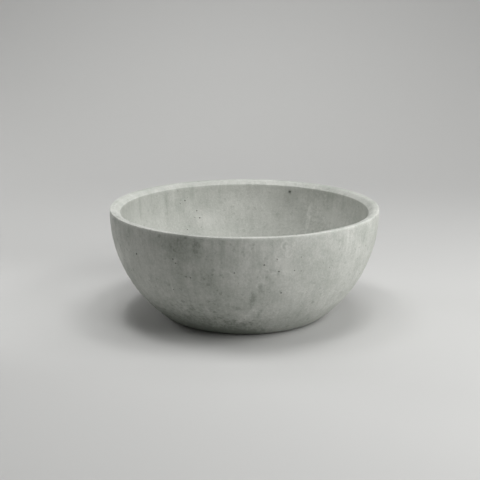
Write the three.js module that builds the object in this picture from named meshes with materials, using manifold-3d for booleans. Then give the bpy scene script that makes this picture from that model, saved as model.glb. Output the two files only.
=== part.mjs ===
// Concrete bowl planter: a thin cast bowl on a flat foot, with a drain in its floor.
//
// Millimetres, +Z up. The origin is on the floor, on the bowl's axis: the undersides of the
// foot pads are at z = 0. The casting, the drain sleeve and the plug are turned shapes about Z.
import * as THREE from "three";
import { mergeVertices } from "three/addons/utils/BufferGeometryUtils.js";
import Module from "manifold-3d";

const wasm = await Module();
wasm.setup();

// ---- Driving sizes ----

// Casting
const RIM_RADIUS = 250; // outside, at the rim
const FOOT_RADIUS = 152; // where the outer curve runs into the plane of the foot
const BOWL_HEIGHT = 200; // foot to rim
const WALL = 20;
const FLOOR_THICKNESS = 27;
const FLOOR_FILLET = 30; // inside, between wall and floor
const RIM_ARRIS = 1.5; // rounding of the rim's outer edge
const RIM_BEVEL_WIDTH = 9; // the bevel inside the rim, seen from above
const RIM_BEVEL_DROP = 7.5; // from the rim's top down to where the bevel meets the inner wall
const FOOT_ARRIS = 4; // rounding of the foot's edge

// Drain sleeve, cast into the middle of the floor
const DRAIN_RADIUS = 13; // bore at its mouth
const DRAIN_TAPER = 1.5; // by how much the bore's radius shrinks on the way down
const DRAIN_CHAMFER = 1; // at the bore's mouth
const SLEEVE_WALL = 2.5; // at the mouth of the bore
const SLEEVE_LIP_WIDTH = 8; // the lip that finishes the hole on the inside
const SLEEVE_LIP_THICKNESS = 3;
const ANCHOR_WIDTH = 4; // the ring half way down, which the concrete grips
const ANCHOR_THICKNESS = 3;

// Drain plug, pushed in from above
const PLUG_LENGTH = 17; // of the taper, below the head
const PLUG_HEAD_OVERLAP = 4; // by which the head reaches past the sleeve's mouth
const PLUG_HEAD_THICKNESS = 3.5;
const PLUG_HEAD_ROUNDING = 1;
const PLUG_TIP_CHAMFER = 1.2;
const GRIP_NECK_RADIUS = 4.5;
const GRIP_NECK_LENGTH = 5;
const GRIP_RADIUS = 8;
const GRIP_THICKNESS = 6;
const GRIP_ROUNDING = 2.4;

// Foot pads, glued into shallow pockets under the foot
const PAD_COUNT = 4;
const PAD_RADIUS = 16;
const PAD_THICKNESS = 4;
const PAD_SUNK = 2; // how much of a pad is inside its pocket
const PAD_ROUNDING = 0.8;
const PAD_INSET = 42; // from the foot's edge in to a pad's middle

// Clearances
const CAST_GAP = 0.3; // between the concrete and what is cast or glued into it
const PLUG_GAP = 0.3; // between the plug and the sleeve

// Fineness of the round shapes
const BOWL_SIDES = 72;
const DRAIN_SIDES = 36;
const PAD_SIDES = 24;
const WALL_STEPS = 10; // along the curve of the wall
const ROUNDING_STEPS = 3; // round each rounded edge

// ---- Levels and centres worked out from them ----

const FOOT_Z = PAD_THICKNESS - PAD_SUNK;
const RIM_Z = FOOT_Z + BOWL_HEIGHT;
const FLOOR_Z = FOOT_Z + FLOOR_THICKNESS;

// The outer curve is one arc. It is upright at the rim, so its centre lies in the rim's plane,
// and it reaches FOOT_RADIUS at the foot. The inner curve has the same centre.
const CURVE_CENTRE =
  (RIM_RADIUS ** 2 - FOOT_RADIUS ** 2 - BOWL_HEIGHT ** 2) / (2 * (RIM_RADIUS - FOOT_RADIUS));
const OUTER_CURVE = RIM_RADIUS - CURVE_CENTRE;
const INNER_CURVE = OUTER_CURVE - WALL;

const SLEEVE_RADIUS = DRAIN_RADIUS + SLEEVE_WALL;
const LIP_RADIUS = SLEEVE_RADIUS + SLEEVE_LIP_WIDTH;
const ANCHOR_RADIUS = SLEEVE_RADIUS + ANCHOR_WIDTH;
const ANCHOR_BOTTOM_Z = FOOT_Z + (FLOOR_THICKNESS - ANCHOR_THICKNESS) / 2;
const PLUG_HEAD_RADIUS = DRAIN_RADIUS + DRAIN_CHAMFER + PLUG_HEAD_OVERLAP;
const PAD_CIRCLE_RADIUS = FOOT_RADIUS - PAD_INSET;

// ---- Materials ----

const paint = (color, roughness) => new THREE.MeshStandardMaterial({ color, roughness, metalness: 0 });
const CONCRETE = paint(0xb3b5af, 0.85);
const SLEEVE_PLASTIC = paint(0x3a3c3d, 0.5);
const PLUG_RUBBER = paint(0x242526, 0.7);
const PAD_RUBBER = paint(0x2c2c2c, 0.8);

// ---- Shapes ----

const point = (radius, z) => new THREE.Vector2(radius, z);

// Points along an arc of a profile. Angles are from the outward direction, up positive.
function arc(centre, radius, from, to, steps) {
  return Array.from({ length: steps + 1 }, (_, i) => {
    const angle = from + ((to - from) * i) / steps;
    return point(centre.x + radius * Math.cos(angle), centre.y + radius * Math.sin(angle));
  });
}

// The point at a level that lies at a given distance from the centre of the wall's curve:
// on the outer or the inner curve, or the centre of a rounding that touches one of them.
function atDistance(z, distance) {
  return point(CURVE_CENTRE + Math.sqrt(distance ** 2 - (RIM_Z - z) ** 2), z);
}

// The direction from the centre of the wall's curve to such a point.
const curveAngle = ({ x, y }) => Math.atan2(y - RIM_Z, x - CURVE_CENTRE);

// Turns a closed profile about Z. Profiles run up the outside and down the inside.
function turned(profile, sides) {
  const closed = [...profile, profile[0].clone()];
  return new THREE.LatheGeometry(closed, sides).rotateX(Math.PI / 2);
}

function solid(geometry) {
  const bare = geometry.clone();
  bare.deleteAttribute("normal");
  bare.deleteAttribute("uv");
  const merged = mergeVertices(bare, 1e-3);
  const vertProperties = merged.attributes.position.array;
  const triVerts = new Uint32Array(merged.index.array);
  return new wasm.Manifold(new wasm.Mesh({ numProp: 3, vertProperties, triVerts }));
}

function geometryOf(body) {
  const mesh = body.getMesh();
  const geometry = new THREE.BufferGeometry();
  geometry.setAttribute("position", new THREE.BufferAttribute(mesh.vertProperties, 3));
  geometry.setIndex(new THREE.BufferAttribute(mesh.triVerts, 1));
  geometry.computeVertexNormals();
  return geometry;
}

// Where the pads sit, counted round from the diagonal between +X and +Y.
function padPlaces() {
  return Array.from({ length: PAD_COUNT }, (_, i) => {
    const angle = ((i + 0.5) * 2 * Math.PI) / PAD_COUNT;
    return { x: PAD_CIRCLE_RADIUS * Math.cos(angle), y: PAD_CIRCLE_RADIUS * Math.sin(angle) };
  });
}

// ---- Casting ----

function outerWall() {
  const foot = atDistance(FOOT_Z + FOOT_ARRIS, OUTER_CURVE - FOOT_ARRIS);
  const rim = atDistance(RIM_Z - RIM_ARRIS, OUTER_CURVE - RIM_ARRIS);
  const curve = point(CURVE_CENTRE, RIM_Z);
  return [
    ...arc(foot, FOOT_ARRIS, -Math.PI / 2, curveAngle(foot), ROUNDING_STEPS),
    ...arc(curve, OUTER_CURVE, curveAngle(foot), curveAngle(rim), WALL_STEPS).slice(1),
    ...arc(rim, RIM_ARRIS, curveAngle(rim), Math.PI / 2, ROUNDING_STEPS).slice(1),
  ];
}

function innerWall() {
  const bevelTop = point(RIM_RADIUS - WALL + RIM_BEVEL_WIDTH, RIM_Z);
  const bevelEnd = atDistance(RIM_Z - RIM_BEVEL_DROP, INNER_CURVE);
  const fillet = atDistance(FLOOR_Z + FLOOR_FILLET, INNER_CURVE - FLOOR_FILLET);
  const curve = point(CURVE_CENTRE, RIM_Z);
  return [
    bevelTop,
    ...arc(curve, INNER_CURVE, curveAngle(bevelEnd), curveAngle(fillet), WALL_STEPS),
    ...arc(fillet, FLOOR_FILLET, curveAngle(fillet), -Math.PI / 2, ROUNDING_STEPS).slice(1),
  ];
}

// The hole follows the outside of the sleeve that it was cast around, with the gap added.
function drainHole() {
  const seatZ = FLOOR_Z - SLEEVE_LIP_THICKNESS - CAST_GAP;
  const grooveTop = ANCHOR_BOTTOM_Z + ANCHOR_THICKNESS + CAST_GAP;
  const grooveBottom = ANCHOR_BOTTOM_Z - CAST_GAP;
  const lip = LIP_RADIUS + CAST_GAP;
  const hole = SLEEVE_RADIUS + CAST_GAP;
  const groove = ANCHOR_RADIUS + CAST_GAP;
  return [
    point(lip, FLOOR_Z),
    point(lip, seatZ),
    point(hole, seatZ),
    point(hole, grooveTop),
    point(groove, grooveTop),
    point(groove, grooveBottom),
    point(hole, grooveBottom),
    point(hole, FOOT_Z),
  ];
}

function bowlShell() {
  const casting = solid(turned([...outerWall(), ...innerWall(), ...drainHole()], BOWL_SIDES));
  const depth = PAD_SUNK + CAST_GAP;
  const below = PAD_THICKNESS; // lets the cutter stand out of the foot
  const pocket = new THREE.CylinderGeometry(
    PAD_RADIUS + CAST_GAP, PAD_RADIUS + CAST_GAP, depth + below, PAD_SIDES,
  ).rotateX(Math.PI / 2);
  const z = FOOT_Z + (depth - below) / 2;
  const pocketed = padPlaces().reduce(
    (body, place) => body.subtract(solid(pocket.clone().translate(place.x, place.y, z))),
    casting,
  );
  return new THREE.Mesh(geometryOf(pocketed), CONCRETE);
}

// ---- Drain ----

// The bore's radius at a level, which shrinks evenly from the mouth to the foot.
const boreRadius = (z) => DRAIN_RADIUS - (DRAIN_TAPER * (FLOOR_Z - z)) / FLOOR_THICKNESS;

function drainSleeve() {
  const lipBottom = FLOOR_Z - SLEEVE_LIP_THICKNESS;
  const anchorTop = ANCHOR_BOTTOM_Z + ANCHOR_THICKNESS;
  const mouthZ = FLOOR_Z - DRAIN_CHAMFER;
  const profile = [
    point(SLEEVE_RADIUS, FOOT_Z),
    point(SLEEVE_RADIUS, ANCHOR_BOTTOM_Z),
    point(ANCHOR_RADIUS, ANCHOR_BOTTOM_Z),
    point(ANCHOR_RADIUS, anchorTop),
    point(SLEEVE_RADIUS, anchorTop),
    point(SLEEVE_RADIUS, lipBottom),
    point(LIP_RADIUS, lipBottom),
    point(LIP_RADIUS, FLOOR_Z),
    point(boreRadius(mouthZ) + DRAIN_CHAMFER, FLOOR_Z),
    point(boreRadius(mouthZ), mouthZ),
    point(boreRadius(FOOT_Z), FOOT_Z),
  ];
  return new THREE.Mesh(turned(profile, DRAIN_SIDES), SLEEVE_PLASTIC);
}

// The plug's head rests on the sleeve's lip, its taper fills the bore, and its grip stands
// in the bowl, where a hand pulls it.
function drainPlug() {
  const headZ = FLOOR_Z + PLUG_GAP;
  const tipZ = headZ - PLUG_LENGTH;
  const neckZ = headZ + PLUG_HEAD_THICKNESS;
  const gripZ = neckZ + GRIP_NECK_LENGTH;
  const topZ = gripZ + GRIP_THICKNESS;
  const taper = (z) => boreRadius(z) - PLUG_GAP;
  const head = point(PLUG_HEAD_RADIUS - PLUG_HEAD_ROUNDING, neckZ - PLUG_HEAD_ROUNDING);
  const gripLow = point(GRIP_RADIUS - GRIP_ROUNDING, gripZ + GRIP_ROUNDING);
  const gripHigh = point(GRIP_RADIUS - GRIP_ROUNDING, topZ - GRIP_ROUNDING);
  const profile = [
    point(0, tipZ),
    point(taper(tipZ) - PLUG_TIP_CHAMFER, tipZ),
    point(taper(tipZ), tipZ + PLUG_TIP_CHAMFER),
    point(taper(headZ), headZ),
    point(PLUG_HEAD_RADIUS, headZ),
    ...arc(head, PLUG_HEAD_ROUNDING, 0, Math.PI / 2, ROUNDING_STEPS),
    point(GRIP_NECK_RADIUS, neckZ),
    point(GRIP_NECK_RADIUS, gripZ),
    ...arc(gripLow, GRIP_ROUNDING, -Math.PI / 2, 0, ROUNDING_STEPS),
    ...arc(gripHigh, GRIP_ROUNDING, 0, Math.PI / 2, ROUNDING_STEPS),
    point(0, topZ),
  ];
  return new THREE.Mesh(turned(profile, DRAIN_SIDES), PLUG_RUBBER);
}

// ---- Foot pads ----

function footPad() {
  const low = point(PAD_RADIUS - PAD_ROUNDING, PAD_ROUNDING);
  const profile = [
    point(0, 0),
    ...arc(low, PAD_ROUNDING, -Math.PI / 2, 0, ROUNDING_STEPS),
    point(PAD_RADIUS, PAD_THICKNESS),
    point(0, PAD_THICKNESS),
  ];
  return new THREE.Mesh(turned(profile, PAD_SIDES), PAD_RUBBER);
}

// ---- Assembly ----

const planter = new THREE.Group();

function add(name, mesh, x = 0, y = 0) {
  mesh.name = name;
  mesh.position.set(x, y, 0);
  planter.add(mesh);
}

add("bowl_shell", bowlShell());
add("drain_sleeve", drainSleeve());
add("drain_plug", drainPlug());
padPlaces().forEach(({ x, y }, i) => add(`foot_pad_${i + 1}`, footPad(), x, y));

export default planter;
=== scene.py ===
import math
import random

import bmesh
import bpy
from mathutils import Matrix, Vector


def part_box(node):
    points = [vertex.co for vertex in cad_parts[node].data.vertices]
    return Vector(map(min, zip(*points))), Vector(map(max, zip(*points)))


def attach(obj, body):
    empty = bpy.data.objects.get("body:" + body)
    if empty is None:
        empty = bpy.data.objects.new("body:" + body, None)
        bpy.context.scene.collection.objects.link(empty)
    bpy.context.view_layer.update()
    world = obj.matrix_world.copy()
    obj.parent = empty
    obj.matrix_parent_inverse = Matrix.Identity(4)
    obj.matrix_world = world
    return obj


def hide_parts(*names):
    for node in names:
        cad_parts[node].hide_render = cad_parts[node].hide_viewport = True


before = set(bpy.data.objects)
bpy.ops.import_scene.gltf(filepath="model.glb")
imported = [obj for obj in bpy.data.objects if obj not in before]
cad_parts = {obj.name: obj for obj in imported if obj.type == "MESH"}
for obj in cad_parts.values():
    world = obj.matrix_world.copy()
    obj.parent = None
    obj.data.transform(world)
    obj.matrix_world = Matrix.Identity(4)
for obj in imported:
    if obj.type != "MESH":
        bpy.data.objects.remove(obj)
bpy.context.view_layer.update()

# ---- The casting: its shape ----
# The bowl is one piece of fibre-reinforced concrete, cast rim down between two turned moulds.
# Its section is drawn as a chain of lines and arcs and spun round the axis, and its skin is then
# made a little uneven, apart from the foot, which is screeded flat.
casting_low, casting_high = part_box("bowl_shell")
sleeve_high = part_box("drain_sleeve")[1]

rim_inset = 0.0015
rim_radius = casting_high.x - rim_inset
rim_z = casting_high.z
widest_below_rim = 0.008
widest_z = rim_z - widest_below_rim
foot_z = casting_low.z
floor_z = sleeve_high.z
foot_radius = 0.1518
wall = 0.019
floor_fillet = 0.030
rim_arris = 0.0015
bevel_width = 0.009
bevel_drop = 0.007
bevel_top_softness = 0.0028
bevel_end_softness = 0.0006
foot_arris = 0.007
unevenness_size = 0.07
unevenness_height = 0.001
cast_gap = 0.0003
lip_thickness = 0.003
lip_radius = sleeve_high.x
sleeve_radius = 0.0155
anchor_radius = 0.0195
anchor_thickness = 0.003

# The outer curve is one arc from foot to rim, widest just below the rim. The inner curve has the
# same centre.
far_from_rim = rim_radius**2 + (rim_z - widest_z) ** 2
far_from_foot = foot_radius**2 + (widest_z - foot_z) ** 2
curve_x = (far_from_rim - far_from_foot) / (2 * (rim_radius - foot_radius))
curve_centre = (curve_x, widest_z)
outer_curve = math.dist(curve_centre, (rim_radius, rim_z))
inner_curve = outer_curve - wall


def deselect_all():
    if bpy.context.object and bpy.context.object.mode == "EDIT":
        bpy.ops.object.mode_set(mode="OBJECT")
    bpy.ops.object.select_all(action="DESELECT")


def pick(piece):
    """Selects one piece alone and makes it the active one."""
    deselect_all()
    piece.select_set(True)
    bpy.context.view_layer.objects.active = piece


def start_section(name, x, z):
    """A plane merged to one vertex, from which a section is drawn in the XZ plane."""
    deselect_all()
    bpy.ops.mesh.primitive_plane_add(size=0.001, location=(x, 0, z))
    bpy.context.object.name = name
    bpy.ops.object.mode_set(mode="EDIT")
    bpy.ops.mesh.select_mode(type="VERT")
    bpy.ops.mesh.merge(type="CENTER")
    return bpy.context.object


def pen_place():
    """Where the section's last vertex is, in the XZ plane."""
    piece = bpy.context.object
    mesh = bmesh.from_edit_mesh(piece.data)
    last = next(v for v in mesh.verts if v.select)
    place = piece.matrix_world @ last.co
    return place.x, place.z


def line_to(x, z, steps=1):
    """Extrudes the section's last vertex to a point."""
    from_x, from_z = pen_place()
    step = ((x - from_x) / steps, 0, (z - from_z) / steps)
    for _ in range(steps):
        bpy.ops.mesh.extrude_vertices_move(TRANSFORM_OT_translate={"value": step})


def arc_to(centre_x, centre_z, x, z, steps):
    """Spins the section's last vertex round a centre, the short way, towards a point."""
    from_x, from_z = pen_place()
    start = math.atan2(from_z - centre_z, from_x - centre_x)
    end = math.atan2(z - centre_z, x - centre_x)
    turn = (end - start + math.pi) % (2 * math.pi) - math.pi
    bpy.ops.mesh.spin(steps=steps, angle=turn, center=(centre_x, 0, centre_z), axis=(0, 1, 0))


def spin_section(steps):
    """Turns the section round Z and makes a clean shell of it, with its faces outwards."""
    bpy.ops.mesh.select_all(action="SELECT")
    bpy.ops.mesh.remove_doubles(threshold=1e-6)
    bpy.ops.mesh.select_all(action="SELECT")
    bpy.ops.mesh.spin(steps=steps, angle=2 * math.pi, center=(0, 0, 0), axis=(0, 0, 1))
    bpy.ops.mesh.select_all(action="SELECT")
    bpy.ops.mesh.remove_doubles(threshold=1e-5)
    bpy.ops.mesh.dissolve_degenerate(threshold=1e-6)
    bpy.ops.mesh.select_all(action="SELECT")
    bpy.ops.mesh.normals_make_consistent(inside=False)
    bpy.ops.object.mode_set(mode="OBJECT")
    bpy.ops.object.transform_apply(location=True, rotation=True, scale=True)


def soften_ring(piece, radius, z, reach, steps):
    """Rounds the ring of edges that lies at a radius and a level."""
    tolerance = 1e-5
    pick(piece)
    bpy.ops.object.mode_set(mode="EDIT")
    bpy.ops.mesh.select_mode(type="EDGE")
    bpy.ops.mesh.select_all(action="DESELECT")
    mesh = bmesh.from_edit_mesh(piece.data)
    for edge in mesh.edges:
        edge.select_set(
            all(math.dist((v.co.xy.length, v.co.z), (radius, z)) < tolerance for v in edge.verts)
        )
    bmesh.update_edit_mesh(piece.data)
    bpy.ops.mesh.bevel(offset=reach, segments=steps, affect="EDGES")
    bpy.ops.mesh.select_mode(type="VERT")
    bpy.ops.object.mode_set(mode="OBJECT")


def on_curve(radius, z):
    """The point at a level on an arc about the centre of the wall's curve."""
    return curve_x + math.sqrt(radius**2 - (widest_z - z) ** 2), z


def touching(centre, radius):
    """Where a rounding touches the arc of that radius, which has the wall's centre."""
    away = Vector((centre[0] - curve_x, centre[1] - widest_z)).normalized() * radius
    return curve_x + away.x, widest_z + away.y


foot_round = on_curve(outer_curve - foot_arris, foot_z + foot_arris)
rim_round = on_curve(outer_curve - rim_arris, rim_z - rim_arris)
bevel_top = (rim_radius - wall + bevel_width, rim_z)
bevel_end = on_curve(inner_curve, rim_z - bevel_drop)
fillet = on_curve(inner_curve - floor_fillet, floor_z + floor_fillet)
hole_radius = sleeve_radius + cast_gap
seat_radius = lip_radius + cast_gap
seat_z = floor_z - lip_thickness - cast_gap
groove_radius = anchor_radius + cast_gap
anchor_z = foot_z + (floor_z - foot_z - anchor_thickness) / 2
groove_low = anchor_z - cast_gap
groove_high = anchor_z + anchor_thickness + cast_gap

casting = start_section("concrete_bowl", hole_radius, foot_z)
line_to(foot_round[0], foot_z, steps=8)
arc_to(*foot_round, *touching(foot_round, outer_curve), steps=5)
arc_to(*curve_centre, *touching(rim_round, outer_curve), steps=34)
arc_to(*rim_round, rim_round[0], rim_z, steps=4)
line_to(*bevel_top, steps=3)
line_to(*bevel_end, steps=3)
arc_to(*curve_centre, *touching(fillet, inner_curve), steps=28)
arc_to(*fillet, fillet[0], floor_z, steps=7)
line_to(seat_radius, floor_z, steps=14)
line_to(seat_radius, seat_z)
line_to(hole_radius, seat_z)
line_to(hole_radius, groove_high)
line_to(groove_radius, groove_high)
line_to(groove_radius, groove_low)
line_to(hole_radius, groove_low)
line_to(hole_radius, foot_z)
spin_section(steps=256)
soften_ring(casting, *bevel_top, reach=bevel_top_softness, steps=6)
soften_ring(casting, *bevel_end, reach=bevel_end_softness, steps=2)

# The skin is uneven everywhere but on the foot and close round the sleeve, so that both fit.
even_radius = 2 * seat_radius
skin = casting.vertex_groups.new(name="moulded_skin")
skin.add(
    [
        v.index
        for v in casting.data.vertices
        if v.co.xy.length > even_radius and v.co.z > foot_z + foot_arris
    ],
    1.0,
    "REPLACE",
)
unevenness = bpy.data.textures.new("mould_unevenness", "CLOUDS")
unevenness.noise_scale = unevenness_size
unevenness.noise_depth = 2
swell = casting.modifiers.new("mould_unevenness", "DISPLACE")
swell.texture = unevenness
swell.vertex_group = skin.name
swell.mid_level = 0.5
swell.strength = unevenness_height
pick(casting)
bpy.ops.object.modifier_apply(modifier=swell.name)

# ---- The casting: its concrete ----
# Pale grey cement with a touch of green, darker in places and darker towards the foot. It has
# clouds and blotches all over, streaks down the walls where the release oil ran along the mould,
# dark drips below the rim, fine sand grain and pores, and a few stains of its own. Some large
# patches among the stains are painted shade and painted light, the inside is lifted by painted
# light, and the pale arrises of the rim are partly a painted highlight.
concrete_dark = (0.237, 0.257, 0.223, 1)
concrete_body = (0.448, 0.46, 0.426, 1)
concrete_pale = (0.665, 0.667, 0.632, 1)
pore_darkness = 0.45
skin_relief = 0.0005


def add_node(tree, kind, sockets=None, **settings):
    """Adds a node, sets it up, and fills or links its sockets, by name or by number."""
    made = tree.nodes.new(kind)
    for setting, value in settings.items():
        setattr(made, setting, value)
    for socket, value in (sockets or {}).items():
        if isinstance(value, bpy.types.NodeSocket):
            tree.links.new(value, made.inputs[socket])
        else:
            made.inputs[socket].default_value = value
    return made


def figure(tree, operation, *values):
    """The result of a Math node on sockets or numbers."""
    return add_node(tree, "ShaderNodeMath", dict(enumerate(values)), operation=operation).outputs[0]


def shift(tree, operation, *values):
    """The result of a Vector Math node on sockets or triples."""
    sockets = dict(enumerate(values))
    return add_node(tree, "ShaderNodeVectorMath", sockets, operation=operation).outputs[0]


def size_of(tree, vector):
    """A vector's length."""
    made = add_node(tree, "ShaderNodeVectorMath", {0: vector}, operation="LENGTH")
    return made.outputs["Value"]


def fade(tree, value, low, high):
    """A smooth step from 0 at low to 1 at high."""
    sockets = {"Value": value, "From Min": low, "From Max": high}
    made = add_node(tree, "ShaderNodeMapRange", sockets, interpolation_type="SMOOTHSTEP")
    return made.outputs["Result"]


def noise(tree, place, scale, detail=3.0, roughness=0.55):
    """Cloudy noise about 0, mostly within 0.25 either way."""
    sockets = {"Vector": place, "Scale": scale, "Detail": detail, "Roughness": roughness}
    made = add_node(tree, "ShaderNodeTexNoise", sockets)
    return figure(tree, "SUBTRACT", made.outputs["Fac"], 0.5)


def weighted_sum(tree, *terms):
    """The sum of pairs of a socket and a weight."""
    total = 0.0
    for value, weight in terms:
        total = figure(tree, "MULTIPLY_ADD", value, weight, total)
    return total


def mix_colours(tree, factor, first, second):
    """A mix of two colours. They are inputs 6 and 7 of a Mix node, and its output 2."""
    sockets = {0: factor, 6: first, 7: second}
    return add_node(tree, "ShaderNodeMix", sockets, data_type="RGBA").outputs[2]


def shade_of(colour, share):
    """A colour made darker, or paler where the share is over 1."""
    return tuple(min(1.0, share * channel) for channel in colour[:3]) + (1,)


def start_group(name, inputs, outputs):
    """A node group with named inputs and outputs: itself, its inputs and its end node."""
    group = bpy.data.node_groups.new(name, "ShaderNodeTree")
    for label, kind in inputs.items():
        group.interface.new_socket(label, in_out="INPUT", socket_type="NodeSocket" + kind)
    for label, kind in outputs.items():
        group.interface.new_socket(label, in_out="OUTPUT", socket_type="NodeSocket" + kind)
    given = group.nodes.new("NodeGroupInput").outputs
    return group, given, group.nodes.new("NodeGroupOutput")


def use_group(tree, group, sockets):
    """Places a node group and gives its outputs."""
    return add_node(tree, "ShaderNodeGroup", sockets, node_tree=group).outputs


# Fine grain: the sand in the concrete, or a mould's texture on plastic and rubber. Grain is the
# size of one grain in metres.
fine_grain, given, end = start_group(
    "fine_grain", {"Place": "Vector", "Grain": "Float"}, {"Tone": "Float", "Relief": "Float"}
)
grain_scale = figure(fine_grain, "DIVIDE", 1.0, given["Grain"])
clump_scale = figure(fine_grain, "MULTIPLY", grain_scale, 0.3)
grains = noise(fine_grain, given["Place"], grain_scale, detail=2, roughness=0.7)
clumps = noise(fine_grain, given["Place"], clump_scale, detail=3, roughness=0.6)
grain_tone = weighted_sum(fine_grain, (grains, 1.0), (clumps, 1.1))
grain_relief = weighted_sum(fine_grain, (grains, 0.6), (clumps, 1.0))
fine_grain.links.new(grain_tone, end.inputs["Tone"])
fine_grain.links.new(grain_relief, end.inputs["Relief"])

# A soft patch of the skin, used for stains and for painted shade and painted light: uneven, tilted
# in the skin's plane, at a bearing round Z.
stain_and_shade_patch, given, end = start_group(
    "stain_and_shade_patch",
    {
        "Place": "Vector",
        "Middle": "Vector",
        "Bearing": "Float",
        "Tilt": "Float",
        "Spread": "Vector",
    },
    {"Mask": "Float"},
)
offset = shift(stain_and_shade_patch, "SUBTRACT", given["Place"], given["Middle"])
turned = add_node(
    stain_and_shade_patch,
    "ShaderNodeVectorRotate",
    {"Vector": offset, "Angle": figure(stain_and_shade_patch, "MULTIPLY", given["Bearing"], -1.0)},
    rotation_type="Z_AXIS",
).outputs[0]
tilted = add_node(
    stain_and_shade_patch,
    "ShaderNodeVectorRotate",
    {"Vector": turned, "Angle": given["Tilt"]},
    rotation_type="X_AXIS",
).outputs[0]
reach = size_of(stain_and_shade_patch, shift(stain_and_shade_patch, "DIVIDE", tilted, given["Spread"]))
ragged = noise(stain_and_shade_patch, given["Place"], 140.0, detail=3, roughness=0.6)
uneven_reach = figure(stain_and_shade_patch, "MULTIPLY_ADD", ragged, 1.6, reach)
stain_and_shade_mask = fade(stain_and_shade_patch, uneven_reach, 1.15, 0.25)
stain_and_shade_patch.links.new(stain_and_shade_mask, end.inputs["Mask"])

# The whole pattern, for the skin and for the insides of the bubble holes.
concrete_tones, given, end = start_group(
    "concrete_tones",
    {"Place": "Vector"},
    {"Color": "Color", "Roughness": "Float", "Relief": "Float"},
)
tree = concrete_tones
place = given["Place"]
level = add_node(tree, "ShaderNodeSeparateXYZ", {"Vector": place}).outputs["Z"]
flat_place = shift(tree, "MULTIPLY", place, (1, 1, 0))
bearing = shift(tree, "NORMALIZE", flat_place)
out_from_axis = size_of(tree, flat_place)
off_the_floor = fade(tree, out_from_axis, 0.135, 0.165)
off_the_rim = fade(tree, level, rim_z - 0.001, rim_z - bevel_drop)
on_wall = figure(tree, "MULTIPLY", off_the_floor, off_the_rim)


# The distance from the centre of the wall's curve tells the outside from the inside.
def distance_to(ring):
    """How far the surface is from a ring, given as its radius and its level."""
    section = add_node(tree, "ShaderNodeCombineXYZ", {"X": out_from_axis, "Y": level}).outputs[0]
    return size_of(tree, shift(tree, "SUBTRACT", section, (*ring, 0)))


inside = fade(tree, distance_to(curve_centre), outer_curve - wall / 3, inner_curve + wall / 3)
outside = figure(tree, "SUBTRACT", 1.0, inside)


def along_wall(height_share):
    """The bearing as a place on a circle, with some of the height, so that noise has streaks."""
    return shift(tree, "ADD", bearing, shift(tree, "MULTIPLY", place, (0, 0, height_share)))


clouds = noise(tree, place, 9.0, detail=2)
blotches = noise(tree, place, 34.0, detail=5, roughness=0.72)
streaks = figure(tree, "MULTIPLY", noise(tree, along_wall(0.6), 24.0), on_wall)
fine_streaks = figure(tree, "MULTIPLY", noise(tree, along_wall(0.9), 62.0, detail=2), on_wall)
grain = use_group(tree, fine_grain, {"Place": place, "Grain": 0.0011})

# Drips run down from the rim, and end at a level that varies round the bowl.
drips = fade(tree, noise(tree, along_wall(0.12), 17.0, detail=2), 0.0, 0.22)
drip_end = weighted_sum(tree, (clouds, 0.12), (streaks, -0.04), (1.0, rim_z - 0.062))
drip_fade = fade(tree, figure(tree, "SUBTRACT", level, drip_end), 0.0, 0.055)
drip_mask = figure(tree, "MULTIPLY", drips, figure(tree, "MULTIPLY", drip_fade, on_wall))

# Pores are pin holes of many sizes, and freckles are larger specks with ragged edges.
pore_cells = add_node(tree, "ShaderNodeTexVoronoi", {"Vector": place, "Scale": 210.0}).outputs
pore_size = figure(tree, "MULTIPLY_ADD", pore_cells["Color"], 0.16, -0.07)
pores = fade(tree, figure(tree, "SUBTRACT", pore_cells["Distance"], pore_size), 0.05, 0.0)
freckle_cells = add_node(tree, "ShaderNodeTexVoronoi", {"Vector": place, "Scale": 85.0}).outputs
freckle_size = figure(tree, "MULTIPLY_ADD", freckle_cells["Color"], 0.55, -0.20)
ragged = figure(tree, "MULTIPLY_ADD", grain["Tone"], 0.25, freckle_cells["Distance"])
freckles = fade(tree, figure(tree, "SUBTRACT", ragged, freckle_size), 0.12, -0.02)

# Scuffs: thin crooked lines that the mould left, pale along one edge.
scuff_place = shift(tree, "MULTIPLY", place, (1, 1, 0.45))
scuff_lines = figure(tree, "ABSOLUTE", noise(tree, scuff_place, 26.0, detail=3, roughness=0.5))
scuff_patches = fade(tree, noise(tree, place, 13.0, detail=1), 0.02, 0.12)
scuffs = figure(tree, "MULTIPLY", fade(tree, scuff_lines, 0.03, 0.0), scuff_patches)

# The two arrises of the rim are pale: wear from handling, and a painted highlight along the edges.
rubbed_and_highlit = figure(
    tree,
    "MAXIMUM",
    fade(tree, distance_to((rim_radius - 0.0005, rim_z - 0.0005)), 0.0045, 0.0010),
    fade(tree, distance_to(bevel_end), 0.0026, 0.0004),
)

# The concrete is darker towards the foot.
foot_fade_level = figure(tree, "MULTIPLY_ADD", clouds, -0.06, level)
darker_towards_foot = fade(tree, foot_fade_level, 0.055, 0.002)

# The tone is 0 on the body colour, -0.5 on the dark one and 0.5 on the pale one. The inside dried
# more evenly, so its pattern is flatter than the outside's, and it is a little paler, which is
# painted light on the inner walls.
tone = weighted_sum(
    tree,
    (clouds, 0.60),
    (blotches, 0.62),
    (streaks, 0.26),
    (fine_streaks, 0.18),
    (grain["Tone"], 0.33),
    (freckles, -0.16),
    (scuffs, 0.13),
    (drip_mask, -0.18),
    (darker_towards_foot, -0.17),
)
tone = figure(tree, "MULTIPLY", tone, figure(tree, "MULTIPLY_ADD", inside, -0.3, 1.0))
# The inside is lifted a little, painted light on the inner walls; the rim's pale arrises are wear
# and a painted highlight.
tone = weighted_sum(tree, (tone, 1.0), (inside, 0.05), (rubbed_and_highlit, 0.11))
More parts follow.
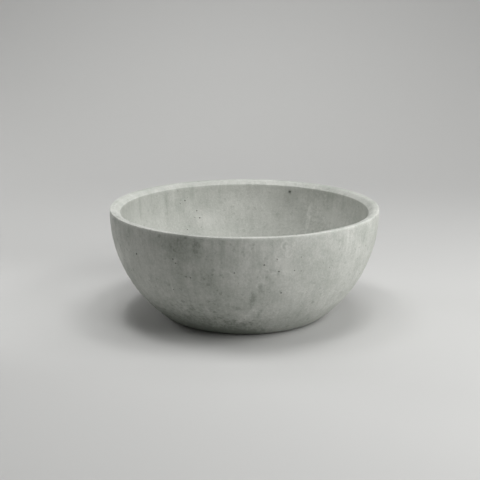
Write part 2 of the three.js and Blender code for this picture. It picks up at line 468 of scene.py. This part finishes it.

# The patches don't reach through the wall. Most are the concrete's own stains; the few marked below
# are, wholly or in part, painted shade and painted light. Each has the curve that it lies on, its
# bearing in degrees, its height, half its width and length, its tilt in degrees, and how dark it
# is, or below 0 how pale.
stain_and_shade_depth = 0.12
for curve, degrees, z, half_width, half_length, tilt, darkness in (
    # Partly a dark cloud in the concrete, partly painted shade under the rim on the front left.
    (outer_curve, -118.0, 0.180, 0.046, 0.032, 0, 0.24),
    (outer_curve, -107.0, 0.182, 0.024, 0.018, 0, 0.06),
    # Painted light: the pale strip down the wall's left edge.
    (outer_curve, -159.0, 0.140, 0.030, 0.055, 0, -0.22),
    (outer_curve, -148.0, 0.146, 0.015, 0.030, 0, -0.16),
    # Painted shade on the lower left of the wall.
    (outer_curve, -123.0, 0.108, 0.050, 0.055, 0, 0.16),
    (outer_curve, -72.0, 0.148, 0.036, 0.046, 0, -0.13),
    (outer_curve, -146.5, 0.117, 0.006, 0.022, 0, 0.10),
    (outer_curve, -134.0, 0.079, 0.008, 0.008, 0, 0.10),
    (outer_curve, -90.0, 0.139, 0.024, 0.030, 0, -0.08),
    (outer_curve, -104.0, 0.115, 0.022, 0.045, 0, 0.12),
    (outer_curve, -107.5, 0.062, 0.006, 0.010, -25, -0.14),
    (outer_curve, -86.7, 0.089, 0.007, 0.020, 12, 0.30),
    (outer_curve, -83.6, 0.108, 0.008, 0.015, -20, 0.20),
    (outer_curve, -80.0, 0.131, 0.020, 0.007, 0, 0.08),
    (outer_curve, -88.0, 0.055, 0.007, 0.016, 28, -0.20),
    (outer_curve, -82.8, 0.060, 0.005, 0.017, 28, 0.22),
    (outer_curve, -96.0, 0.070, 0.022, 0.009, 0, 0.12),
    # Painted shade low on the left, towards the foot.
    (outer_curve, -127.0, 0.010, 0.130, 0.066, 0, 0.32),
    # Painted shade low at the front, towards the foot.
    (outer_curve, -91.0, 0.006, 0.050, 0.046, 0, 0.25),
    (outer_curve, -58.0, 0.085, 0.005, 0.022, -14, 0.09),
    (outer_curve, -52.5, 0.080, 0.004, 0.020, -14, -0.09),
    (outer_curve, -34.0, 0.178, 0.038, 0.028, 0, 0.15),
    (outer_curve, -48.0, 0.183, 0.005, 0.022, 0, 0.11),
    (outer_curve, -44.5, 0.176, 0.004, 0.026, 0, -0.10),
    (inner_curve, 66.0, 0.183, 0.005, 0.006, 0, 0.30),
    (inner_curve, 65.6, 0.170, 0.016, 0.024, 0, 0.18),
    (inner_curve, 54.1, 0.131, 0.006, 0.034, 0, -0.16),
    (inner_curve, 72.0, 0.136, 0.018, 0.015, 0, 0.12),
    (inner_curve, 132.6, 0.171, 0.006, 0.026, 0, 0.13),
    (inner_curve, 43.4, 0.166, 0.018, 0.015, 0, 0.14),
    (inner_curve, 111.0, 0.128, 0.030, 0.026, 0, -0.12),
    (inner_curve, 153.0, 0.170, 0.006, 0.026, 0, 0.14),
    (inner_curve, 40.0, 0.148, 0.060, 0.050, 0, -0.20),
    # Painted light on the inner wall at the back right.
    (inner_curve, 72.0, 0.160, 0.130, 0.060, 0, -0.16),
):
    turn = math.radians(degrees)
    out = on_curve(curve, z)[0]
    stain_and_shade = use_group(
        tree,
        stain_and_shade_patch,
        {
            "Place": place,
            "Middle": (out * math.cos(turn), out * math.sin(turn), z),
            "Bearing": turn,
            "Tilt": math.radians(tilt),
            "Spread": (stain_and_shade_depth, half_width, half_length),
        },
    )
    own_side = outside if curve == outer_curve else inside
    skin_deep = figure(tree, "MULTIPLY", stain_and_shade["Mask"], own_side)
    tone = figure(tree, "MULTIPLY_ADD", skin_deep, -darkness, tone)

ramp = add_node(tree, "ShaderNodeValToRGB", {"Fac": figure(tree, "ADD", tone, 0.5)})
ramp.color_ramp.elements[0].color = concrete_dark
ramp.color_ramp.elements[1].color = concrete_pale
ramp.color_ramp.elements.new(0.5).color = concrete_body
pore_shade = figure(tree, "MULTIPLY", pores, 0.6)
pore_colour = shade_of(concrete_dark, pore_darkness)
colour = mix_colours(tree, pore_shade, ramp.outputs["Color"], pore_colour)
relief = weighted_sum(tree, (grain["Relief"], 0.5), (blotches, 1.4), (pores, -0.8))
tree.links.new(colour, end.inputs["Color"])
tree.links.new(figure(tree, "MULTIPLY_ADD", tone, 0.25, 0.82), end.inputs["Roughness"])
tree.links.new(relief, end.inputs["Relief"])


def start_material(name):
    """A new material: itself, its shader, and where its surface lies."""
    material = bpy.data.materials.new(name)
    material.use_nodes = True
    place = material.node_tree.nodes.new("ShaderNodeTexCoord").outputs["Object"]
    return material, material.node_tree.nodes["Principled BSDF"], place


def raise_surface(material, shader, relief, depth):
    """Gives the material a bump from a relief, with the depth of its full height in metres."""
    bump = add_node(material.node_tree, "ShaderNodeBump", {"Height": relief, "Distance": depth})
    material.node_tree.links.new(bump.outputs["Normal"], shader.inputs["Normal"])


cast_concrete, shader, place = start_material("cast_concrete")
tones = use_group(cast_concrete.node_tree, concrete_tones, {"Place": place})
cast_concrete.node_tree.links.new(tones["Color"], shader.inputs["Base Color"])
cast_concrete.node_tree.links.new(tones["Roughness"], shader.inputs["Roughness"])
raise_surface(cast_concrete, shader, tones["Relief"], skin_relief)
shader.inputs["Specular IOR Level"].default_value = 0.35
casting.data.materials.append(cast_concrete)

# Dust and damp sit in the bubble holes, so they are darker than the skin; the darkening there is
# also painted shade in the hollows.
hollow_dirt_and_shade_colour = (0.05, 0.053, 0.046, 1)
hollow_dirt_and_shade_share = 0.55
bubble_hollow, shader, place = start_material("bubble_hollow")
tones = use_group(bubble_hollow.node_tree, concrete_tones, {"Place": place})
hollow_colour = mix_colours(bubble_hollow.node_tree, hollow_dirt_and_shade_share, tones["Color"], hollow_dirt_and_shade_colour)
bubble_hollow.node_tree.links.new(hollow_colour, shader.inputs["Base Color"])
raise_surface(bubble_hollow, shader, tones["Relief"], skin_relief)
shader.inputs["Roughness"].default_value = 0.95

# ---- The casting: its pockets, bubble holes and chips ----
# Four pockets in the underside of the foot take the pads. Air bubbles that were trapped against
# the moulds left small round holes with sharp edges, and stripping the moulds chipped the
# arrises a little.
bubble_smallest = 0.00036
bubble_largest = 0.0015
bubble_scatter = 0.55
bubble_spacing = 0.001
bubble_roughness = 0.00005
chip_smallest = 0.0009
chip_largest = 0.0020
chip_stand_off_share = 0.55


def join_cutters(cutters, material):
    """Joins some shapes into one cutter, with the material that the cut surface gets."""
    for cutter in cutters:
        cutter.select_set(True)
    bpy.ops.object.join()
    joined = bpy.context.object
    joined.data.materials.append(material)
    return joined


def start_cutter(material):
    """A cutter in edit mode, where shapes are added to it. Its first one lies clear of the bowl."""
    deselect_all()
    bpy.ops.mesh.primitive_ico_sphere_add(subdivisions=1, radius=0.001, location=(0, 0, -1))
    bpy.context.object.data.materials.append(material)
    bpy.ops.object.mode_set(mode="EDIT")
    return bpy.context.object


def finish_cutter():
    """Leaves edit mode, with the cutter's place in its mesh."""
    bpy.ops.object.mode_set(mode="OBJECT")
    bpy.ops.object.transform_apply(location=True, rotation=True, scale=True)


def cut_away(piece, cutter):
    """Subtracts a closed mesh from a piece, and removes the cutter."""
    cutting = piece.modifiers.new("cut", "BOOLEAN")
    cutting.operation = "DIFFERENCE"
    cutting.solver = "EXACT"
    cutting.material_mode = "TRANSFER"
    cutting.object = cutter
    pick(piece)
    bpy.ops.object.modifier_apply(modifier=cutting.name)
    bpy.data.objects.remove(cutter)


pad_nodes = [f"foot_pad_{i + 1}" for i in range(4)]
deselect_all()
pockets = []
for node in pad_nodes:
    low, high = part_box(node)
    middle = (low + high) / 2
    bpy.ops.mesh.primitive_cylinder_add(
        vertices=64,
        radius=(high.x - low.x) / 2 + cast_gap,
        depth=2 * (high.z + cast_gap - foot_z),
        location=(middle.x, middle.y, foot_z),
    )
    pockets.append(bpy.context.object)
cut_away(casting, join_cutters(pockets, cast_concrete))

chance = random.Random(11)


def skin_point(side, degrees, where):
    """The casting's surface and its normal at a bearing, and at a height on the outside or the
    inside of the wall, or at a radius on the rim or the floor."""
    bearing = math.radians(degrees)
    out = Vector((math.cos(bearing), math.sin(bearing), 0))
    if side == "outside":
        found = casting.ray_cast(out * 2 * rim_radius + Vector((0, 0, where)), -out)
    elif side == "inside":
        found = casting.ray_cast(Vector((0, 0, where)), out)
    else:
        found = casting.ray_cast(out * where + Vector((0, 0, 2 * rim_z)), Vector((0, 0, -1)))
    return found[1], found[2]


# The bubbles that stand out on this bowl: side, bearing in degrees, height and radius. After
# them come the random ones: side, how many, and between which two heights or radii.
bubbles = [
    ("outside", -140.0, 0.151, 0.0020),
    ("outside", -145.0, 0.1775, 0.0013),
    ("outside", -119.5, 0.157, 0.0012),
    ("outside", -118.5, 0.150, 0.0012),
    ("outside", -114.5, 0.127, 0.0012),
    ("outside", -112.5, 0.126, 0.0015),
    ("outside", -82.5, 0.1545, 0.0017),
    ("outside", -77.5, 0.164, 0.0011),
    ("outside", -76.5, 0.1415, 0.0013),
    ("outside", -70.0, 0.141, 0.0012),
    ("outside", -67.0, 0.1385, 0.0012),
    ("outside", -67.5, 0.164, 0.0011),
    ("outside", -74.5, 0.0995, 0.0015),
    ("inside", 66.0, 0.183, 0.0024),
    ("inside", 115.5, 0.145, 0.0012),
    ("inside", 122.5, 0.111, 0.0011),
]
for side, count, low, high in (
    ("outside", 210, foot_z + 0.006, rim_z - 0.006),
    ("inside", 130, floor_z + 0.012, rim_z - 0.012),
    ("rim", 18, rim_radius - 0.010, rim_radius - 0.003),
    ("floor", 30, 0.045, 0.135),
):
    for _ in range(count):
        growth = math.exp(abs(chance.gauss(0, bubble_scatter)))
        radius = min(bubble_smallest * growth, bubble_largest)
        bubbles.append((side, chance.uniform(-180, 180), chance.uniform(low, high), radius))

# A bubble too close to one that is already there is left out, so that no two holes meet.
placed = []
cutter = start_cutter(bubble_hollow)
for side, degrees, where, radius in bubbles:
    point, normal = skin_point(side, degrees, where)
    crowded = any(
        (point - other).length < radius + other_radius + bubble_spacing
        for other, other_radius in placed
    )
    if crowded:
        continue
    placed.append((point, radius))
    bpy.ops.mesh.primitive_ico_sphere_add(
        subdivisions=2,
        radius=radius,
        location=point + normal * radius * chance.uniform(0.0, 0.35),
        rotation=normal.to_track_quat("Z", "Y").to_euler(),
        scale=(chance.uniform(1.0, 1.4), chance.uniform(0.85, 1.15), chance.uniform(0.8, 1.0)),
    )
bpy.ops.mesh.select_all(action="SELECT")
bpy.ops.transform.vertex_random(offset=bubble_roughness, seed=4)
finish_cutter()
cut_away(casting, cutter)

# The chips along the rim's outer arris and along the lower edge of its bevel: the edge's radius
# and level, the way out of the concrete, and how many.
cutter = start_cutter(cast_concrete)
for edge_radius, edge_z, side, count in (
    (rim_radius, rim_z, 1, 12),
    (*bevel_end, -1, 9),
):
    for i in range(count):
        bearing = math.radians(chance.uniform(i, i + 0.8) * 360 / count)
        radius = chance.uniform(chip_smallest, chip_largest)
        stand_off = chip_stand_off_share * radius
        out = edge_radius + side * stand_off
        bpy.ops.mesh.primitive_ico_sphere_add(
            subdivisions=1,
            radius=radius,
            location=(out * math.cos(bearing), out * math.sin(bearing), edge_z + stand_off),
            rotation=[chance.uniform(-math.pi, math.pi) for _ in range(3)],
            scale=(chance.uniform(0.8, 1.1), chance.uniform(0.8, 1.8), chance.uniform(0.8, 1.1)),
        )
finish_cutter()
cut_away(casting, cutter)
pick(casting)
bpy.ops.object.shade_smooth_by_angle(angle=math.radians(35))

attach(casting, "bowl")
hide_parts("bowl_shell")

# ---- The drain sleeve ----
# A moulded plastic tube with a lip, cast into the middle of the floor. A ring half way down its
# outside keys it into the concrete. Its lip has a fine groove round the plug's head.
bore_radius = 0.013
bore_taper = 0.0015
bore_chamfer = 0.001
lip_rounding = 0.0006
groove_width = 0.0008
groove_depth = 0.0004
lip_groove_radius = 0.0208
end_chamfer = 0.0005
sleeve_dark = (0.045, 0.047, 0.05, 1)


def bore_at(z):
    """The bore's radius at a level. It narrows evenly from the mouth down to the foot."""
    return bore_radius - bore_taper * (floor_z - z) / (floor_z - foot_z)


def groove_to(radius, z, width, depth):
    """Draws on along a level face and past a narrow groove in it. Depth is upward."""
    way = math.copysign(width / 2, radius - pen_place()[0])
    floor_way = way * 0.7
    line_to(radius - way, z)
    line_to(radius - floor_way, z + depth)
    line_to(radius + floor_way, z + depth)
    line_to(radius + way, z)


lip_low = floor_z - lip_thickness
bore_low = bore_at(foot_z)
sleeve = start_section("plastic_sleeve", bore_low + end_chamfer, foot_z)
line_to(sleeve_radius - end_chamfer, foot_z)
line_to(sleeve_radius, foot_z + end_chamfer)
line_to(sleeve_radius, anchor_z)
line_to(anchor_radius, anchor_z)
line_to(anchor_radius, anchor_z + anchor_thickness)
line_to(sleeve_radius, anchor_z + anchor_thickness)
line_to(sleeve_radius, lip_low)
line_to(lip_radius, lip_low)
line_to(lip_radius, floor_z - lip_rounding)
arc_to(lip_radius - lip_rounding, floor_z - lip_rounding, lip_radius - lip_rounding, floor_z, 4)
groove_to(lip_groove_radius, floor_z, groove_width, -groove_depth)
line_to(bore_at(floor_z) + bore_chamfer, floor_z)
line_to(bore_at(floor_z - bore_chamfer), floor_z - bore_chamfer)
line_to(bore_at(foot_z + end_chamfer), foot_z + end_chamfer, steps=6)
line_to(bore_low + end_chamfer, foot_z)
spin_section(steps=128)
bpy.ops.object.shade_smooth_by_angle(angle=math.radians(35))

# Cement dust that settled on the plastic and the rubber: patches of a given size in metres,
# thicker on faces that look up. Amount runs from 0, clean, to 1.
cement_dust, given, end = start_group(
    "cement_dust", {"Place": "Vector", "Patch": "Float", "Amount": "Float"}, {"Mask": "Float"}
)
patch_scale = figure(cement_dust, "DIVIDE", 1.0, given["Patch"])
patches = noise(cement_dust, given["Place"], patch_scale, detail=5, roughness=0.65)
facing = cement_dust.nodes.new("ShaderNodeNewGeometry").outputs["Normal"]
upward = add_node(cement_dust, "ShaderNodeSeparateXYZ", {"Vector": facing}).outputs["Z"]
settled = figure(cement_dust, "MULTIPLY", figure(cement_dust, "MAXIMUM", upward, 0.0), 0.15)
dust_level = weighted_sum(cement_dust, (patches, 1.0), (given["Amount"], 0.5), (settled, 1.0))
dust_mask = fade(cement_dust, dust_level, 0.15, 0.65)
cement_dust.links.new(dust_mask, end.inputs["Mask"])


def moulded_material(name, colour, roughness, grain_size, dust, patch):
    """Plastic or rubber as it came from its mould, with cement dust on it."""
    material, shader, place = start_material(name)
    tree = material.node_tree
    grain = use_group(tree, fine_grain, {"Place": place, "Grain": grain_size})
    mask = use_group(tree, cement_dust, {"Place": place, "Patch": patch, "Amount": dust})["Mask"]
    worn = fade(tree, grain["Tone"], -0.25, 0.45)
    worn_share = figure(tree, "MULTIPLY", worn, 0.5)
    base = mix_colours(tree, worn_share, colour, shade_of(colour, 1.9))
    dusty = mix_colours(tree, mask, base, concrete_body)
    tree.links.new(dusty, shader.inputs["Base Color"])
    rough = weighted_sum(tree, (mask, 0.35), (grain["Tone"], 0.2), (1.0, roughness))
    tree.links.new(rough, shader.inputs["Roughness"])
    raise_surface(material, shader, grain["Relief"], grain_size * 0.25)
    return material


sleeve.data.materials.append(
    moulded_material("sleeve_plastic", sleeve_dark, 0.42, 0.0005, dust=0.35, patch=0.009)
)
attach(sleeve, "bowl")
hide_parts("drain_sleeve")

# ---- The plug ----
# A moulded rubber plug with a tapered body, three fine sealing ribs, a head that rests on the
# sleeve's lip, and a fluted grip that a hand pulls it out by.
plug_low, plug_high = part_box("drain_plug")
plug_gap = 0.0003
head_radius = plug_high.x
head_z = floor_z + plug_gap
head_thickness = 0.0035
head_rounding = 0.001
tip_z = plug_low.z
tip_chamfer = 0.0012
neck_radius = 0.0045
neck_fillet = 0.0014
neck_z = head_z + head_thickness
grip_radius = 0.008
grip_thickness = 0.006
grip_rounding = 0.0024
top_z = plug_high.z
grip_z = top_z - grip_thickness
dimple_radius = 0.0042
dimple_depth = 0.0004
rib_shares = (0.3, 0.55, 0.8)
rib_height = 0.00015
rib_half_width = 0.0006
flutes = 8
flute_radius = 0.003
flute_depth = 0.0007
plug_dark = (0.02, 0.021, 0.022, 1)


def plug_at(z):
    """The radius of the plug's tapered body at a level."""
    return bore_at(z) - plug_gap


plug = start_section("rubber_plug", 0, tip_z)
line_to(plug_at(tip_z) - tip_chamfer, tip_z, steps=3)
line_to(plug_at(tip_z + tip_chamfer), tip_z + tip_chamfer)
for share in rib_shares:
    rib_z = tip_z + share * (head_z - tip_z)
    line_to(plug_at(rib_z - rib_half_width), rib_z - rib_half_width)
    line_to(plug_at(rib_z) + rib_height, rib_z - rib_half_width / 2)
    line_to(plug_at(rib_z) + rib_height, rib_z + rib_half_width / 2)
    line_to(plug_at(rib_z + rib_half_width), rib_z + rib_half_width)
line_to(plug_at(head_z), head_z)
line_to(head_radius, head_z)
line_to(head_radius, neck_z - head_rounding)
arc_to(head_radius - head_rounding, neck_z - head_rounding, head_radius - head_rounding, neck_z, 5)
line_to(neck_radius + neck_fillet, neck_z, steps=3)
arc_to(neck_radius + neck_fillet, neck_z + neck_fillet, neck_radius, neck_z + neck_fillet, 5)
line_to(neck_radius, grip_z - neck_fillet)
arc_to(neck_radius + neck_fillet, grip_z - neck_fillet, neck_radius + neck_fillet, grip_z, 5)
line_to(grip_radius - grip_rounding, grip_z)
arc_to(grip_radius - grip_rounding, grip_z + grip_rounding, grip_radius, grip_z + grip_rounding, 6)
line_to(grip_radius, top_z - grip_rounding)
arc_to(grip_radius - grip_rounding, top_z - grip_rounding, grip_radius - grip_rounding, top_z, 6)
line_to(dimple_radius, top_z)
line_to(dimple_radius - dimple_depth, top_z - dimple_depth)
line_to(0, top_z - dimple_depth, steps=2)
spin_section(steps=96)

plug_rubber = moulded_material("plug_rubber", plug_dark, 0.6, 0.0007, dust=0.2, patch=0.011)
plug.data.materials.append(plug_rubber)
deselect_all()
flute_out = grip_radius + flute_radius - flute_depth
flute_cutters = []
for i in range(flutes):
    bearing = 2 * math.pi * i / flutes
    bpy.ops.mesh.primitive_cylinder_add(
        vertices=48,
        radius=flute_radius,
        depth=2 * grip_thickness,
        location=(flute_out * math.cos(bearing), flute_out * math.sin(bearing), top_z),
    )
    flute_cutters.append(bpy.context.object)
cut_away(plug, join_cutters(flute_cutters, plug_rubber))
pick(plug)
bpy.ops.object.shade_smooth_by_angle(angle=math.radians(35))
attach(plug, "plug")
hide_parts("drain_plug")

# ---- The foot pads ----
# Four rubber discs, glued into the pockets. Each has a rounded edge and three grooves in its
# underside, so that it grips and doesn't stick to a wet floor.
pad_low, pad_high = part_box(pad_nodes[0])
pad_radius = (pad_high.x - pad_low.x) / 2
pad_thickness = pad_high.z
pad_rounding = 0.0008
pad_chamfer = 0.0004
pad_groove_radii = (0.004, 0.008, 0.012)
pad_groove_width = 0.0014
pad_groove_depth = 0.0006
pad_dark = (0.026, 0.026, 0.026, 1)

pad = start_section("rubber_pad_1", 0, 0)
for pad_groove_radius in pad_groove_radii:
    groove_to(pad_groove_radius, 0, pad_groove_width, pad_groove_depth)
line_to(pad_radius - pad_rounding, 0)
arc_to(pad_radius - pad_rounding, pad_rounding, pad_radius, pad_rounding, steps=5)
line_to(pad_radius, pad_thickness - pad_chamfer)
line_to(pad_radius - pad_chamfer, pad_thickness)
line_to(0, pad_thickness)
spin_section(steps=72)
bpy.ops.object.shade_smooth_by_angle(angle=math.radians(35))
pad.data.materials.append(
    moulded_material("pad_rubber", pad_dark, 0.7, 0.0008, dust=0.3, patch=0.012)
)

pads = [pad]
for i in range(1, len(pad_nodes)):
    pick(pad)
    bpy.ops.object.duplicate(linked=False)
    pads.append(bpy.context.object)
for i, (piece, node) in enumerate(zip(pads, pad_nodes)):
    low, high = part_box(node)
    pick(piece)
    piece.name = f"rubber_pad_{i + 1}"
    piece.location = ((low.x + high.x) / 2, (low.y + high.y) / 2, 0)
    bpy.ops.object.transform_apply(location=True, rotation=True, scale=True)
    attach(piece, "bowl")
    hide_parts(node)

# ---- The floor and the sweep behind it ----
# A seamless studio sweep: a level floor that curves up into a wall all round, painted one pale
# grey. It is drawn as a section and spun like the casting.
sweep_floor_radius = 1.25
sweep_curve = 2.2
sweep_height = 2.8
sweep_grey = (0.53, 0.53, 0.52, 1)

sweep = start_section("studio_sweep", 0, 0)
line_to(sweep_floor_radius, 0, steps=4)
arc_to(sweep_floor_radius, sweep_curve, sweep_floor_radius + sweep_curve, sweep_curve, steps=48)
line_to(sweep_floor_radius + sweep_curve, sweep_height)
spin_section(steps=96)
bpy.ops.object.shade_smooth()

sweep_paint, shader, place = start_material("sweep_paint")
shader.inputs["Base Color"].default_value = sweep_grey
shader.inputs["Roughness"].default_value = 0.9
sweep.data.materials.append(sweep_paint)

# ---- Camera ----
# An 85 mm lens on a 36 mm wide sensor, a little over two metres in front of the bowl. It looks
# down by a number of degrees.
camera_dip = 14.35
camera = bpy.data.cameras.new("camera")
camera.lens = 85
camera.sensor_width = 36
viewer = bpy.data.objects.new("camera", camera)
viewer.location = (-0.0081, -2.0547, 0.6610)
viewer.rotation_euler = (math.radians(90 - camera_dip), 0, 0)
bpy.context.scene.collection.objects.link(viewer)
bpy.context.scene.camera = viewer

# ---- Light ----
# Softboxes round the bowl and over it, and two for the sweep behind it. Each has its place, the
# point that it faces, the lengths of its sides, its spread in degrees, and its power in watts.
for name, place, aim, width, length, spread, power in (
    ("overhead_right", (0.5, 0, 2.2), (0, 0, 0.1), 0.6, 0.6, 180, 10.8),
    ("overhead_left", (-0.5, 0, 2.2), (0, 0, 0.1), 0.6, 0.6, 180, 7.8),
    ("overhead_front", (0, -0.5, 2.2), (0, 0, 0.1), 0.6, 0.6, 180, 8.9),
    ("key", (1.68, -0.45, 1.46), (0, 0, 0.1), 0.9, 0.9, 180, 17.7),
    ("key_front", (1.22, -1.22, 1.46), (0, 0, 0.1), 0.9, 0.9, 180, 10.6),
    ("key_low", (1.3, -0.45, 0.28), (0, 0, 0.1), 1.0, 0.4, 180, 4.8),
    ("edge", (-1.75, 0.93, 1.0), (0, 0, 0.1), 0.7, 0.7, 180, 9.2),
    ("backdrop_top", (0, 1.3, 2.3), (0, 1.6, 0), 2.4, 0.8, 120, 7.9),
    ("backdrop", (0, 1.7, 1.3), (0, 2.8, 0.7), 0.8, 0.5, 180, 3.9),
):
    lamp = bpy.data.lights.new(name, "AREA")
    lamp.shape = "RECTANGLE"
    lamp.size = width
    lamp.size_y = length
    lamp.spread = math.radians(spread)
    lamp.energy = power
    softbox = bpy.data.objects.new(name, lamp)
    softbox.location = place
    softbox.rotation_euler = (Vector(place) - Vector(aim)).to_track_quat("Z", "Y").to_euler()
    softbox.visible_camera = False
    bpy.context.scene.collection.objects.link(softbox)

# A spot with a soft edge looks straight down and lifts the floor on the bowl's left.
spot = bpy.data.lights.new("floor_spot", "SPOT")
spot.spot_size = math.radians(28)
spot.spot_blend = 1.0
spot.shadow_soft_size = 0.1
spot.energy = 22.0
floor_spot = bpy.data.objects.new("floor_spot", spot)
floor_spot.location = (-0.44, 0.05, 1.5)
bpy.context.scene.collection.objects.link(floor_spot)

# The lamps give all the light, and the air gives none.
world = bpy.data.worlds.new("studio_air")
world.use_nodes = True
world.node_tree.nodes["Background"].inputs["Strength"].default_value = 0.0
bpy.context.scene.world = world
bpy.context.scene.view_settings.view_transform = "Standard"
